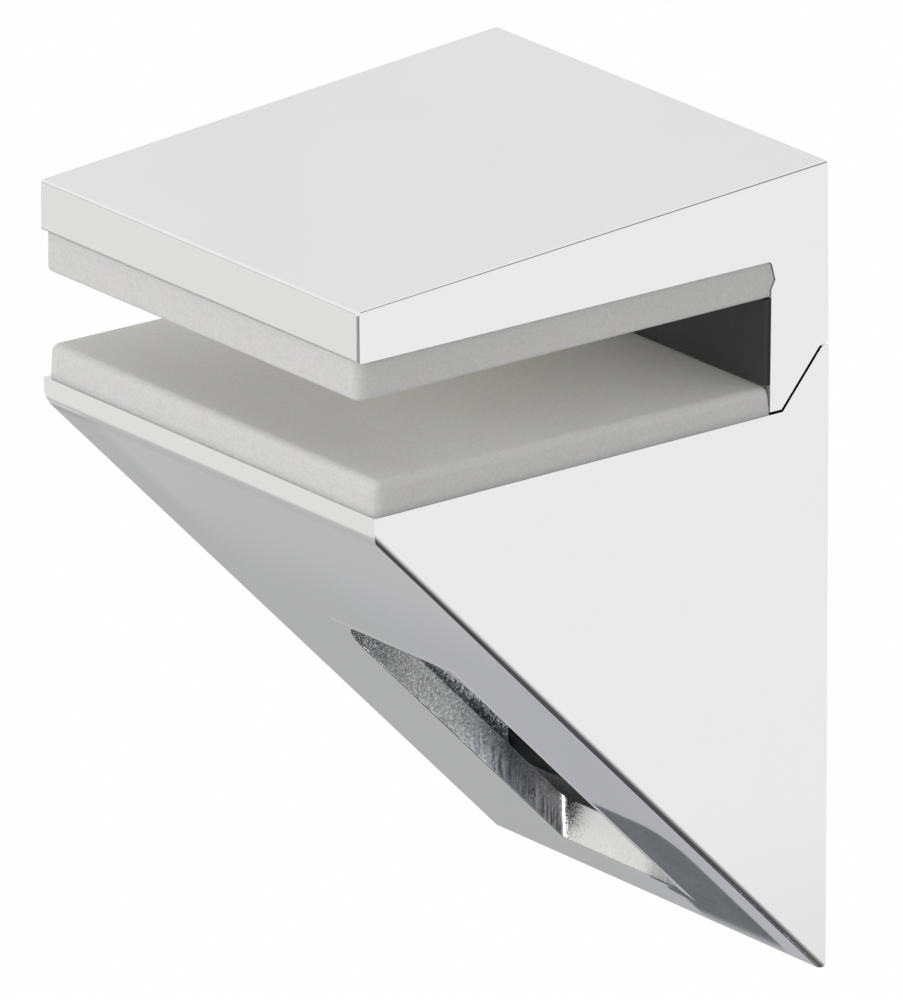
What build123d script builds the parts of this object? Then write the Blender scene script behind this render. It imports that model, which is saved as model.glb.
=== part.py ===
from build123d import *
import math
import os

# Clamp bracket for a glass shelf: a hollow wedge hangs on a plate at the wall, and an upper jaw
# slides on it, drawn down on the glass by a screw that is turned through a window underneath.
# Millimetres. X runs across the clip, +Y points to the wall (the wall is y = 0), +Z is up.
# The origin is the middle of the two wall screws, on the wall. Heights below are measured from
# the seat, the lower jaw's upper face, and the finished pieces are lifted by seat_height.

# Outside of the lower jaw
width = 40.4
seat_depth = 42.5
lip_height = 1.85
wedge_drop = 45.7
lower_draft_deg = 0.4
toe_radius = 0.42
lip_radius = 2.4
wedge_edge_radius = 0.55

# Parting line between the two jaws, at the wall
horn_height = 4.38
horn_foot_depth = 4.33
horn_top_depth = 0.63
horn_radius = 0.5
parting_gap = 0.2

# Walls of the lower jaw
seat_wall = 2.4
slant_wall_height = 3.4
side_wall = 2.8

# Window in the slanted underside
window_width = 14.2
window_front_depth = 25.2
window_back_depth = 3.7
window_front_radius = 2.6
window_back_radius = 0.6
window_edge_radius = 0.1

# Upper jaw
plate_depth = 43.3
plate_front_narrowing = 0.8
slot_height = 11.95
plate_front_thickness = 4.0
back_height = 18.7
back_top_narrowing = 0.1
leg_thickness = 5.5
leg_draft = 0.2
jaw_edge_radius = 0.3
slot_corner_radius = 0.4
groove_depth = 0.38
groove_peak = 1.5
groove_height = 2.2

# Tongue of the upper jaw and its guides
tongue_shoulder = 5.0
tongue_length = 17.0
tongue_setback = 0.16
tongue_side_clearance = 0.2
gate_clearance = 0.04
tongue_plate_clearance = 0.3
tongue_chamfer = 0.8
boss_width = 13.0
boss_height = 8.0
boss_front_wall = 1.6
boss_radius = 2.0

# Clamp screw, M5, with washer and retaining ring
screw_radius = 2.5
thread_clearance = 0.06
screw_length = 16.0
screw_past_boss = 2.0
screw_depth = 9.8
head_radius = 4.25
head_height = 3.5
head_chamfer = 0.4
hex_across_flats = 3.0
hex_depth = 2.0
tip_chamfer = 0.6
washer_radius = 5.0
washer_bore_clearance = 0.15
washer_thickness = 1.0
ring_radius = 4.6
ring_thickness = 0.6
ring_mouth_width = 3.4
ring_groove_radius = 2.0
ring_fit_clearance = 0.02
end_float = 0.05

# Screw web across the inside of the lower jaw
web_top = 17.5
web_thickness = 3.0
web_hole_clearance = 0.25
web_front_margin = 0.8

# Wall plate with its hooks
plate_thickness = 2.2
plate_width = 32.0
plate_top = 4.0
plate_floor_gap = 0.5
plate_corner_radius = 1.5
hook_bar_height = 8.0
hook_width = 3.7
hook_side_clearance = 0.3
hook_thickness = 2.0
hook_channel = 2.4
hook_arm_top = 7.8
hook_tip = 4.6
hook_bend_radius = 1.6
rib_clearance = 0.15
wall_screw_spacing = 25.5
wall_screw_top = 8.5
wall_screw_radius = 2.25
wall_screw_sink_radius = 3.8

# Lock screw, M3, which holds the wedge to the plate
lock_height = 28.0
lock_radius = 1.5
lock_thread_clearance = 0.05
lock_head_radius = 2.75
lock_head_height = 2.0
lock_hex_across_flats = 2.0
lock_hex_depth = 1.2
lock_tip_setback = 0.3
lock_bar_height = 6.5
lock_bar_thickness = 2.6
lock_hole_clearance = 0.2

# Pads that touch the glass
lower_pad_front_thickness = 2.7
lower_pad_back_thickness = 2.1
lower_pad_inset = 0.05
lower_pad_front_inset = 0.15
lower_pad_taper_deg = 3.5
lower_pad_leg_clearance = 0.1
pad_corner_radius = 0.9
lower_pad_edge_radius = 0.7
upper_pad_front_thickness = 3.1
upper_pad_back_thickness = 2.85
upper_pad_inset = 0.2
upper_pad_front_inset = 0.15
upper_pad_groove_clearance = 0.08
upper_pad_edge_radius = 0.35
peg_radius = 1.5
peg_length = 1.5
peg_clearance = 0.05
peg_end_gap = 0.15
peg_front_depth = 33.0
peg_back_depth = 14.0

# Strip on the leg that the glass edge meets
strip_recess = 0.2
strip_thickness = 0.6
strip_inset = 0.3
strip_pad_gap = 0.15
strip_clearance = 0.03
strip_edge_radius = 0.15

# Values that follow from the sizes above
half_width = width / 2
seat_height = wall_screw_top + wall_screw_spacing / 2
slope = (wedge_drop - lip_height) / seat_depth
floor_drop = wedge_drop - slope * window_back_depth - slant_wall_height
plate_bottom = floor_drop - plate_floor_gap
cavity_half = half_width - side_wall
web_bottom = web_top + web_thickness
head_top = web_bottom + end_float + washer_thickness
screw_tip = head_top - screw_length
tongue_half = cavity_half - tongue_shoulder
opening_half = tongue_half + tongue_side_clearance
plate_front_half = half_width - plate_front_narrowing
back_top_half = half_width - back_top_narrowing
tongue_back = plate_thickness + tongue_plate_clearance
tongue_front = leg_thickness - tongue_setback
boss_top = screw_tip + screw_past_boss
hook_outer = cavity_half - hook_side_clearance
hook_inner = hook_outer - hook_width
lock_bar_front = plate_thickness + lock_bar_thickness
strip_half = half_width - strip_inset
strip_top = slot_height - upper_pad_back_thickness - strip_pad_gap
strip_bottom = lower_pad_back_thickness + strip_pad_gap
leg_top = leg_thickness - leg_draft
groove_low = slot_height - groove_height

# Lengths that only have to be generous: cutters run past faces, joined shapes bite into each other
reach = 60.0
past = 1.0
bite = 0.5
touch = 0.05


def prism(points, x_low, x_high):
    """A solid with an outline in the YZ plane, from one X to another."""
    outline = make_face(Polyline(*[(y, z) for y, z in points], close=True))
    on_side = Plane(origin=(x_low, 0, 0), x_dir=(0, 1, 0), z_dir=(1, 0, 0))
    return extrude(on_side * outline, x_high - x_low)


def block(x_half, y_low, y_high, z_low, z_high):
    """A box that is centred across the clip."""
    size = Box(2 * x_half, y_high - y_low, z_high - z_low)
    return Pos(0, (y_low + y_high) / 2, (z_low + z_high) / 2) * size


def both_sides(piece):
    """A piece and its mirror image across the middle plane."""
    return piece + mirror(piece, about=Plane.YZ)


def trim_sides(piece, a, b, c):
    """Cuts a piece on both sides along the plane through three points."""
    normal = (Vector(*b) - Vector(*a)).cross(Vector(*c) - Vector(*a)).normalized()
    if normal.X < 0:
        normal = normal * -1
    side = Plane(origin=a, z_dir=normal)
    piece = split(piece, bisect_by=side, keep=Keep.BOTTOM)
    far = Plane(origin=(-a[0], a[1], a[2]), z_dir=(-normal.X, normal.Y, normal.Z))
    return split(piece, bisect_by=far, keep=Keep.BOTTOM)


def upright(radius, z_low, z_high, y, x=0.0):
    """A vertical cylinder between two heights."""
    return Pos(x, y, (z_low + z_high) / 2) * Cylinder(radius, z_high - z_low)


def lying(radius, y_low, y_high, z, x=0.0):
    """A cylinder along Y between two depths."""
    turned = Pos(x, (y_low + y_high) / 2, z) * Rot(90, 0, 0)
    return turned * Cylinder(radius, y_high - y_low)


def slant_z(depth, lift=0.0):
    """Height of the slanted underside at a distance from the wall."""
    return -wedge_drop + slope * depth + lift


def horn_outline():
    """Outline of the part of the lower jaw that stands up at the wall."""
    corners = Polyline(
        (-horn_foot_depth, 0),
        (-horn_top_depth, horn_height),
        (0, horn_height),
        (0, -bite),
        (-horn_foot_depth, -bite),
        close=True,
    )
    face = make_face(corners)
    crest = face.vertices().sort_by(Axis.Y)[-2:].sort_by(Axis.X)[0]
    return fillet(crest, horn_radius)


def horn_prism(grow, x_low, x_high):
    """The standing part at the wall as a solid, grown by a clearance."""
    face = horn_outline()
    if grow > 0:
        face = offset(face, amount=grow, kind=Kind.ARC)
    on_side = Plane(origin=(x_low, 0, 0), x_dir=(0, 1, 0), z_dir=(1, 0, 0))
    return extrude(on_side * face, x_high - x_low)


def wedge_outside():
    """The lower jaw's outside before it is hollowed."""
    outline = [(0, 0), (-seat_depth, 0), (-seat_depth, -lip_height), (0, -wedge_drop)]
    lean = math.tan(math.radians(lower_draft_deg)) * wedge_drop
    side = [
        (half_width, 0, 0),
        (half_width, -seat_depth, 0),
        (half_width - lean, 0, -wedge_drop),
    ]
    body = trim_sides(prism(outline, -reach / 2, reach / 2), *side)
    slanted = body.faces().filter_by(
        lambda f: f.normal_at().Z < 0 and abs(f.normal_at().X) < touch
    )
    long_edges = slanted.edges().filter_by(Axis.X, reverse=True)
    body = fillet(long_edges, wedge_edge_radius)

    rounded = prism(outline, -reach / 2, reach / 2)
    toe = rounded.edges().filter_by(Axis.X).sort_by(Axis.Z)[0]
    rounded = fillet(toe, toe_radius)
    lip = rounded.edges().filter_by(Axis.X).sort_by_distance((0, -seat_depth, -lip_height))[0]
    rounded = fillet(lip, lip_radius)
    body = body & rounded
    horns = trim_sides(horn_prism(0, -reach / 2, reach / 2), *side)
    horns = horns - block(opening_half, -reach, reach, -reach, reach)
    return body + horns


def cut_window(body):
    """Cuts the tool window, with upright walls, through the slanted wall."""
    length = window_front_depth - window_back_depth
    centre_y = -(window_front_depth + window_back_depth) / 2
    outline = Pos(0, centre_y) * Rectangle(window_width, length)
    corners = outline.vertices()
    outline = fillet(corners.sort_by(Axis.Y)[:2], window_front_radius)
    outline = fillet(outline.vertices().sort_by(Axis.Y)[-2:], window_back_radius)
    above = slant_z(window_front_depth, slant_wall_height + past)
    cutter = extrude(Pos(0, 0, -wedge_drop - past) * outline, above + wedge_drop + past)
    body = body - cutter
    mouth = body.edges().filter_by(
        lambda e: abs(e.center().Z - slant_z(-e.center().Y)) < window_back_radius / 2
        and abs(e.center().X) < window_width / 2 + touch
        and window_back_depth - touch < -e.center().Y < window_front_depth + touch
    )
    return fillet(mouth, window_edge_radius)


def lower_jaw():
    """The hollow wedge with its screw web, hook ribs and lock bar."""
    body = wedge_outside()
    seat_front = (wedge_drop - slant_wall_height - seat_wall) / slope
    cavity = prism(
        [
            (past, -seat_wall),
            (-seat_front, -seat_wall),
            (-window_back_depth, -floor_drop),
            (past, -floor_drop),
        ],
        -cavity_half,
        cavity_half,
    )
    body = body - cavity
    body = cut_window(body)
    gate_front = -leg_thickness - gate_clearance
    tongue_gate = block(opening_half, gate_front, past, -seat_wall - past, past)
    body = body - tongue_gate

    web_front_low = (wedge_drop - slant_wall_height - web_bottom) / slope + bite
    web_front_high = (wedge_drop - slant_wall_height - web_top) / slope + bite
    web_back = plate_thickness + tongue_plate_clearance
    web = prism(
        [
            (-web_back, -web_top),
            (-web_front_high, -web_top),
            (-web_front_low, -web_bottom),
            (-web_back, -web_bottom),
        ],
        -cavity_half - bite,
        cavity_half + bite,
    )
    web_front = screw_depth + washer_radius + web_front_margin
    web = web - block(window_width / 2, -reach, -web_front, -reach, 0)
    web_hole = screw_radius + web_hole_clearance
    web = web - upright(web_hole, -web_bottom - past, -web_top + past, -screw_depth)
    body = body + web

    bar_low = -lock_height - lock_bar_height / 2
    bar_high = bar_low + lock_bar_height
    bar = block(cavity_half + bite, -lock_bar_front, -plate_thickness, bar_low, bar_high)
    bar = bar - lying(lock_radius + lock_hole_clearance, -lock_bar_front - past, 0, -lock_height)
    body = body + bar

    rib_back = plate_thickness + rib_clearance
    rib_front = plate_thickness + hook_channel - rib_clearance
    rib = prism(
        [
            (-rib_back, -seat_wall + bite),
            (-rib_front, -seat_wall + bite),
            (-rib_front, -hook_arm_top),
            (-rib_back, -hook_arm_top),
        ],
        opening_half,
        cavity_half + bite,
    )
    body = body + both_sides(rib)
    return body - peg_holes(0, -1)


def peg_places():
    """Centres of the pads' two locating pegs."""
    return [(0, -peg_front_depth), (0, -peg_back_depth)]


def peg_holes(z, direction):
    """Blind holes for the pegs, down or up from a face."""
    depth = peg_length + peg_end_gap
    low, high = sorted((z, z + direction * depth))
    low, high = (low, high + past) if direction < 0 else (low - past, high)
    holes = [upright(peg_radius + peg_clearance, low, high, y, x) for x, y in peg_places()]
    return holes[0] + holes[1]


def pegs(z, direction):
    """The pegs themselves, rooted in the pad."""
    low, high = sorted((z - direction * bite, z + direction * peg_length))
    pins = [upright(peg_radius, low, high, y, x) for x, y in peg_places()]
    return pins[0] + pins[1]


def groove_line(clearance):
    """Points down the corner groove at the top of the leg, set off to the front by a clearance."""
    front = -leg_top - clearance
    return [
        (front, slot_height),
        (front + groove_depth, slot_height - groove_peak),
        (front, groove_low),
    ]


def leg_face(z):
    """Y of the leg's front face at a height."""
    rise = (z - parting_gap) / (groove_low - parting_gap)
    return -leg_thickness + leg_draft * rise


def leg_layer(x_half, z_low, z_high, behind, ahead):
    """A solid along the leg's front face, from one depth behind it to another ahead of it."""
    outline = [
        (leg_face(z_low) + behind, z_low),
        (leg_face(z_high) + behind, z_high),
        (leg_face(z_high) - ahead, z_high),
        (leg_face(z_low) - ahead, z_low),
    ]
    return prism(outline, -x_half, x_half)


def upper_jaw():
    """The inverted L with its tongue and threaded boss."""
    top_front = slot_height + plate_front_thickness
    outline = [
        (0, back_height),
        (-plate_depth, top_front),
        (-plate_depth, slot_height),
        *groove_line(0),
        (-leg_thickness, parting_gap),
        (0, parting_gap),
    ]
    body = prism(outline, -reach / 2, reach / 2)
    slot_corner = body.edges().filter_by(Axis.X).sort_by_distance((0, -leg_top, slot_height))[0]
    body = fillet(slot_corner, slot_corner_radius)
    body = trim_sides(
        body,
        (half_width, 0, horn_height),
        (back_top_half, 0, back_height),
        (plate_front_half, -plate_depth, top_front),
    )
    rims = body.edges().filter_by(
        lambda e: (e.center().Z > top_front - touch and e.center().Y < -touch)
        or (e.center().Y < -plate_depth + touch)
    )
    body = fillet(rims, jaw_edge_radius)
    body = body - both_sides(horn_prism(parting_gap, tongue_half, reach / 2))

    tongue_root = parting_gap + bite
    tongue = block(tongue_half, -tongue_front, -tongue_back, -tongue_length, tongue_root)
    tongue = chamfer(tongue.edges().filter_by(Axis.X).group_by(Axis.Z)[0], tongue_chamfer)
    boss_front = screw_depth + screw_radius + boss_front_wall
    boss_low = -boss_top - boss_height
    boss = block(boss_width / 2, -boss_front, -tongue_front + bite, boss_low, -boss_top)
    boss = fillet(boss.edges().filter_by(Axis.Z).group_by(Axis.Y)[0], boss_radius)
    body = body + tongue + boss
    thread = upright(screw_radius + thread_clearance, -tongue_length, -boss_top + past, -screw_depth)
    body = body - thread

    recess_low = strip_bottom - strip_clearance
    recess_high = strip_top + strip_clearance
    recess_half = strip_half + strip_clearance
    body = body - leg_layer(recess_half, recess_low, recess_high, strip_recess, past)
    return body - peg_holes(slot_height, 1)


def pad_outline(front_half, back_half, front, back):
    """A pad's plan, with round front corners."""
    corners = Polyline(
        (-back_half, -back), (-front_half, -front), (front_half, -front), (back_half, -back), close=True
    )
    face = make_face(corners)
    return fillet(face.vertices().sort_by(Axis.Y)[:2], pad_corner_radius)


def lower_pad():
    """The moulded pad on the seat, a little thicker at the front."""
    half = half_width - lower_pad_inset
    front = seat_depth - lower_pad_front_inset
    back = leg_thickness + lower_pad_leg_clearance
    plan = pad_outline(half, half, front, back)
    body = extrude(plan, lower_pad_front_thickness + past, taper=lower_pad_taper_deg)
    above = prism(
        [
            (-front, lower_pad_front_thickness),
            (-back, lower_pad_back_thickness),
            (-back, reach),
            (-front, reach),
        ],
        -reach / 2,
        reach / 2,
    )
    body = body - above
    rim = body.faces().sort_by(Axis.Z)[-1].edges().filter_by(lambda e: e.center().Y < -back - past)
    body = fillet(rim, lower_pad_edge_radius)
    return body + pegs(0, -1)


def upper_pad():
    """The moulded pad under the plate, a little thicker at the front."""
    front = plate_depth - upper_pad_front_inset
    back = leg_top - groove_depth
    front_half = plate_front_half - upper_pad_inset
    back_half = half_width - upper_pad_inset
    plan = Pos(0, 0, slot_height) * pad_outline(front_half, back_half, front, back)
    body = extrude(plan, -upper_pad_front_thickness)
    low_front = slot_height - upper_pad_front_thickness
    low_back = slot_height - upper_pad_back_thickness
    below = prism(
        [(-front, low_front), (-back, low_back), (-back, -reach), (-front, -reach)],
        -reach / 2,
        reach / 2,
    )
    body = body - below
    groove = groove_line(upper_pad_groove_clearance)
    leg = [(groove[0][0], slot_height + past), *groove, (groove[-1][0], -reach), (reach, -reach)]
    body = body - prism([*leg, (reach, slot_height + past)], -reach / 2, reach / 2)
    top_back = body.edges().filter_by(Axis.X).sort_by_distance((0, groove[0][0], slot_height))[0]
    body = fillet(top_back, slot_corner_radius)
    rim = body.faces().sort_by(Axis.Z)[0].edges().filter_by(lambda e: e.center().Y < -leg_top - past)
    body = fillet(rim, upper_pad_edge_radius)
    return body + pegs(slot_height, 1)


def back_strip():
    """The strip in the leg's recess that the glass edge meets."""
    ahead = strip_thickness - strip_recess
    body = leg_layer(strip_half, strip_bottom, strip_top, strip_recess, ahead)
    front = body.faces().sort_by(Axis.Y)[0]
    return fillet(front.edges(), strip_edge_radius)


def wall_plate():
    """The pressed plate at the wall, with two hooks that carry the wedge."""
    body = block(plate_width / 2, -plate_thickness, 0, -plate_bottom, -plate_top)
    body = fillet(body.edges().filter_by(Axis.Y).group_by(Axis.Z)[0], plate_corner_radius)
    bar = block(hook_outer, -plate_thickness, 0, -plate_top - hook_bar_height, -plate_top)
    body = body + fillet(bar.edges().filter_by(Axis.Y), plate_corner_radius / 2)
    inner = plate_thickness + hook_channel
    outer = inner + hook_thickness
    arm_low = hook_arm_top + hook_thickness
    hook_root = -plate_thickness + bite
    hook = prism(
        [
            (hook_root, -hook_arm_top),
            (-inner, -hook_arm_top),
            (-inner, -hook_tip),
            (-outer, -hook_tip),
            (-outer, -arm_low),
            (hook_root, -arm_low),
        ],
        hook_inner,
        hook_outer,
    )
    bend = hook.edges().filter_by(Axis.X).sort_by_distance((hook_outer, -outer, -arm_low))[0]
    hook = fillet(bend, hook_bend_radius)
    body = body + both_sides(hook)
    for drop in (wall_screw_top, wall_screw_top + wall_screw_spacing):
        sink_depth = wall_screw_sink_radius - wall_screw_radius
        body = body - lying(wall_screw_radius, -plate_thickness - past, past, -drop)
        cone = Cone(wall_screw_radius, wall_screw_sink_radius, sink_depth)
        body = body - Pos(0, -plate_thickness + sink_depth / 2, -drop) * Rot(90, 0, 0) * cone
    lock_thread = lock_radius + lock_thread_clearance
    return body - lying(lock_thread, -plate_thickness - past, past, -lock_height)


def clamp_screw():
    """The socket-head screw that draws the upper jaw down."""
    y = -screw_depth
    shank = upright(screw_radius, -head_top, -screw_tip, y)
    shank = chamfer(shank.edges().sort_by(Axis.Z)[-1], tip_chamfer)
    head = upright(head_radius, -head_top - head_height, -head_top, y)
    head = chamfer(head.edges().group_by(Axis.Z)[0], head_chamfer)
    body = shank + head
    socket = RegularPolygon(hex_across_flats / 2, 6, major_radius=False)
    key_hole = extrude(Pos(0, y, -head_top - head_height) * socket, hex_depth)
    groove_low = -web_top + end_float
    groove_width = ring_thickness + 2 * ring_fit_clearance
    groove_high = groove_low + groove_width
    groove = upright(screw_radius + past, groove_low, groove_high, y)
    groove = groove - upright(ring_groove_radius, groove_low - past, groove_high + past, y)
    return body - key_hole - groove


def screw_washer():
    """The washer between the screw's head and the web."""
    low = -head_top
    ring = upright(washer_radius, low, low + washer_thickness, -screw_depth)
    bore = screw_radius + washer_bore_clearance
    return ring - upright(bore, low - past, low + washer_thickness + past, -screw_depth)


def retaining_ring():
    """The open ring that keeps the screw from dropping out of the web."""
    y = -screw_depth
    low = -web_top + end_float + ring_fit_clearance
    high = low + ring_thickness
    ring = upright(ring_radius, low, high, y)
    bore = ring_groove_radius + ring_fit_clearance
    ring = ring - upright(bore, low - past, high + past, y)
    return ring - block(ring_mouth_width / 2, y - reach, y, low - past, high + past)


def lock_screw():
    """The short socket screw that holds the lock bar to the plate."""
    head_back = -lock_bar_front
    head_front = head_back - lock_head_height
    head = lying(lock_head_radius, head_front, head_back, -lock_height)
    head = chamfer(head.edges().group_by(Axis.Y)[0], head_chamfer)
    shank = lying(lock_radius, head_back - bite, -lock_tip_setback, -lock_height)
    socket = RegularPolygon(lock_hex_across_flats / 2, 6, major_radius=False)
    front = Plane(origin=(0, head_front, -lock_height), x_dir=(1, 0, 0), z_dir=(0, 1, 0))
    return head + shank - extrude(front * socket, lock_hex_depth)


def main():
    """Builds every piece and writes one file for each."""
    os.makedirs("parts", exist_ok=True)
    pieces = {
        "lower_jaw": lower_jaw(),
        "lower_pad": lower_pad(),
        "wall_plate": wall_plate(),
        "lock_screw": lock_screw(),
        "upper_jaw": upper_jaw(),
        "upper_pad": upper_pad(),
        "back_strip": back_strip(),
        "clamp_screw": clamp_screw(),
        "screw_washer": screw_washer(),
        "retaining_ring": retaining_ring(),
    }
    for name, piece in pieces.items():
        export_step(Pos(0, 0, seat_height) * piece, f"parts/{name}.step")


main()
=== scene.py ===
import math
from functools import partial

import bpy
from bpy.props import FloatProperty, FloatVectorProperty, IntProperty, PointerProperty
from mathutils import Matrix, Vector


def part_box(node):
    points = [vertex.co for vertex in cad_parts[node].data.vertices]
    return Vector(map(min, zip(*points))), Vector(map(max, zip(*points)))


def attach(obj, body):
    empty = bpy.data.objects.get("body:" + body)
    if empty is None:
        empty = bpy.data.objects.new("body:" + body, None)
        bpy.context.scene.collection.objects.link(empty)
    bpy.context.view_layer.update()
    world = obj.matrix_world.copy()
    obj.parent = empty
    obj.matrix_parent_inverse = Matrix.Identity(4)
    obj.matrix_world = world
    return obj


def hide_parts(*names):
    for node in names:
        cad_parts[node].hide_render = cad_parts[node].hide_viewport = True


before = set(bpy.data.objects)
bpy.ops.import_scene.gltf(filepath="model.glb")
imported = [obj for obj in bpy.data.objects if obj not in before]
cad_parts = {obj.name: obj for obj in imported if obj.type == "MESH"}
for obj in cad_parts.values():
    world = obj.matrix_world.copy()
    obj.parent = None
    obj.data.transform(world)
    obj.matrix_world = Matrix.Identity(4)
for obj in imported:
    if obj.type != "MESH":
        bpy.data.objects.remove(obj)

bl_info = {
    "name": "Glass Shelf Clip",
    "version": (1, 0, 0),
    "blender": (4, 5, 0),
    "location": "View3D > Sidebar > Shelf Clip",
    "description": "Finishes a clamp bracket for a glass shelf and sets it in a small light tent",
    "category": "Object",
}

MM = 0.001

# Depth of bumps
CASTING_RELIEF = 0.06 * MM
PAD_RELIEF = 0.02 * MM
STRIP_RELIEF = 0.02 * MM
TURNED_RELIEF = 0.012 * MM
PLATE_RELIEF = 0.02 * MM

# Levels of the card under the clip, from its far to its near side: metres from the middle, level
TABLE_TONES = (
    (-0.44, 0.64),
    (-0.35, 0.52),
    (-0.29, 0.503),
    (-0.23, 0.58),
    (-0.13, 0.60),
    (-0.07, 0.46),
    (-0.02, 0.26),
    (0.03, 0.12),
    (0.07, 0.055),
    (0.13, 0.055),
    (0.19, 0.12),
    (0.26, 0.27),
    (0.34, 0.46),
    (0.42, 0.68),
    (0.50, 0.888),
)
TABLE_SPAN = TABLE_TONES[-1][0] - TABLE_TONES[0][0]
TABLE_IN_FRONT = (0.785, 0.785, 0.775)
IN_FRONT_X = (0.12, 0.20)
IN_FRONT_Y = (0.13, 0.24)

# Plating tone with painted shade on the window's side walls, mostly darker deep in the window,
# from the window's front to its back: share of the way, tone
WALL_SHADE_TONES = (
    (0.0, (0.42, 0.42, 0.425)),
    (0.10, (0.36, 0.362, 0.368)),
    (0.26, (0.57, 0.57, 0.562)),
    (0.46, (0.59, 0.595, 0.59)),
    (0.67, (0.34, 0.344, 0.36)),
    (0.85, (0.065, 0.067, 0.073)),
    (0.97, (0.085, 0.085, 0.088)),
)
# Painted light: the window's end wall, lighter than its side walls
LIT_END_WALL = (0.86, 0.86, 0.845)
PITTED = (0.03, 0.03, 0.032)
# Painted highlight: the bright line in the window's back corner and the glints in the hollow
PAINTED_HIGHLIGHT = (0.95, 0.95, 0.95)
# Painted glints along the window's near edge: their dark and their bright tone
RIM_GLINT_SHADE = (0.06, 0.06, 0.064)
RIM_GLINT_LIGHT = (0.78, 0.79, 0.79)

# Where painted shade under the wedge, painted glints along the window's rim and in the hollow, and
# scoring in the lower jaw's plating fade in
UNDERSIDE = (0.02 * MM, 0.2 * MM)
COOL_SIDE_X = (-4 * MM, 9 * MM)
CLEAR_LIP_X = (-17 * MM, -13 * MM)
CLEAR_LIP_Y = (26 * MM, 38 * MM)
RIM_WIDTH = (0.24 * MM, 0.36 * MM)
RIM_START_Y = (4.5 * MM, 6 * MM)
SCORED_HEIGHT = 2 * MM
SCORED_FADE = 1.4 * MM
GLINT_HEIGHT = (4.4 * MM, 6.6 * MM)

# Screws: shape of the thread's ridge in pitches, steps of one turn, corners of the socket
THREAD_DEPTH = 0.61
RIDGE_HALF = 0.44
CREST_HALF = 0.06
THREAD_START = 0.8
THREAD_FREE = 1.6
THREAD_STEPS = 28
HEXAGON_CORNERS = 1.16
LOCK_SCREW_FINENESS = 0.7

# Cards of the light tent: name, direction, metres away, width, tone, soft share of the rim
CARDS = (
    ("card_front_low", (0.746, -0.575, -0.2), 0.6, 0.35, 0.10, 0.2),
    ("card_front_high", (-0.746, -0.64, 0.10), 0.6, 0.26, 0.60, 0.5),
    ("card_back_high", (0.336, 0.575, 0.746), 0.6, 0.40, 0.22, 0.4),
    ("card_behind", (-0.746, 0.575, -0.20), 0.7, 0.22, 0.60, 0.5),
    ("card_top", (-0.746, 0.48, 0.42), 0.65, 0.50, 0.80, 0.1),
)
BLOCK_DARK = (0.13, 0.132, 0.144)
BLOCK_LIGHT = (0.22, 0.224, 0.224)
BLOCK_LAP = 0.6 * MM
BLOCK_CORNER = 3.2 * MM
BLOCK_FADE = (2.2 * MM, 0.6 * MM)

# Lamps: the spot in the window that they light, and directions from the clip
WINDOW_SPOT = (-2 * MM, -15 * MM, -17 * MM)
WINDOW_LAMP_AWAY = 70 * MM
WINDOW_LAMP_SIZE = 14 * MM
SLOT_LAMP_SIZES = (37 * MM, 33 * MM)
SLOT_LAMP_Y = -20 * MM
SLOT_LAMP_RISE = 7.5 * MM
FRONT_LIGHT = (-0.25, -1.0, 0.0)
WINDOW_LIGHT = (0.62, -0.48, -0.62)
HOLLOW_LIGHT = (0.90, -0.20, -0.38)
SLOT_LIGHT_TINT = (1.0, 0.99, 0.90)


def colour(name, description, default):
    """A colour property."""
    return FloatVectorProperty(
        name=name, description=description, default=default, subtype="COLOR", size=3, min=0, max=1
    )


def length(name, description, default_mm):
    """A length property, given in millimetres and kept in metres."""
    return FloatProperty(
        name=name, description=description, default=default_mm * MM, unit="LENGTH", precision=5
    )


def share(name, description, default):
    """A number from 0 to 1."""
    return FloatProperty(
        name=name, description=description, default=default, min=0, max=1, subtype="FACTOR"
    )


def turn(name, description, degrees):
    """An angle property, given in degrees."""
    return FloatProperty(
        name=name, description=description, default=math.radians(degrees), subtype="ANGLE"
    )


class ClipFinish(bpy.types.PropertyGroup):
    """Colours and finishes of the clip."""

    chrome: colour("Chrome", "Bright plating on the jaws", (0.93, 0.932, 0.931))
    # Painted shade: the haze tones darken the plating under the wedge, with a cool tint on its
    # near side
    haze: colour("Haze", "Plating under the wedge, on the far side", (0.706, 0.718, 0.714))
    cool_underside_shade: colour("Cool haze", "Plating under the wedge, near side", (0.722, 0.726, 0.796))
    chrome_roughness: share("Chrome roughness", "Polished outer faces", 0.04)
    skin: colour("Casting skin", "Plating over the unpolished inside", (0.62, 0.625, 0.63))
    skin_roughness: share("Skin roughness", "Unpolished inside of the castings", 0.30)
    # Painted shade: the dark tone far inside the wedge, in its hollow
    hollow_shade: colour("Deep skin", "Thin dull plating far inside the wedge", (0.09, 0.092, 0.098))
    pad: colour("Pad", "Milky plastic of the pads", (0.86, 0.86, 0.845))
    pad_roughness: share("Pad roughness", "Satin skin of the pads", 0.48)
    strip: colour("Strip", "Dark rubber strip on the leg", (0.042, 0.042, 0.045))
    zinc: colour("Zinc", "Zinc plating on plate and screws", (0.66, 0.68, 0.70))
    zinc_roughness: share("Zinc roughness", "Zinc plating", 0.34)


class ClipCasting(bpy.types.PropertyGroup):
    """Sizes that tell the polished outside of the castings from the inside."""

    wedge_drop: length("Wedge drop", "From the seat down to the sharp toe", 45.7)
    lip_height: length("Lip height", "Upright front edge of the lower jaw", 1.85)
    horn_height: length("Horn height", "Part of the lower jaw above the seat", 4.38)
    slot_height: length("Slot height", "From the seat up to the upper jaw", 11.95)
    skin_depth: length("Skin depth", "How far in from the outside the polish ends", 0.35)
    slant_wall: length("Slanted wall", "Thickness of the wall with the window", 2.37)
    window_half: length("Half window", "Half the width of the window", 7.1)
    window_front: length("Window front", "From the wall to the window's front edge", 25.2)
    window_back: length("Window back", "From the wall to the window's back edge", 3.7)
    mouth_roll: length("Mouth roll", "Width of the polished roll along the window's edge", 0.9)


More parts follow.
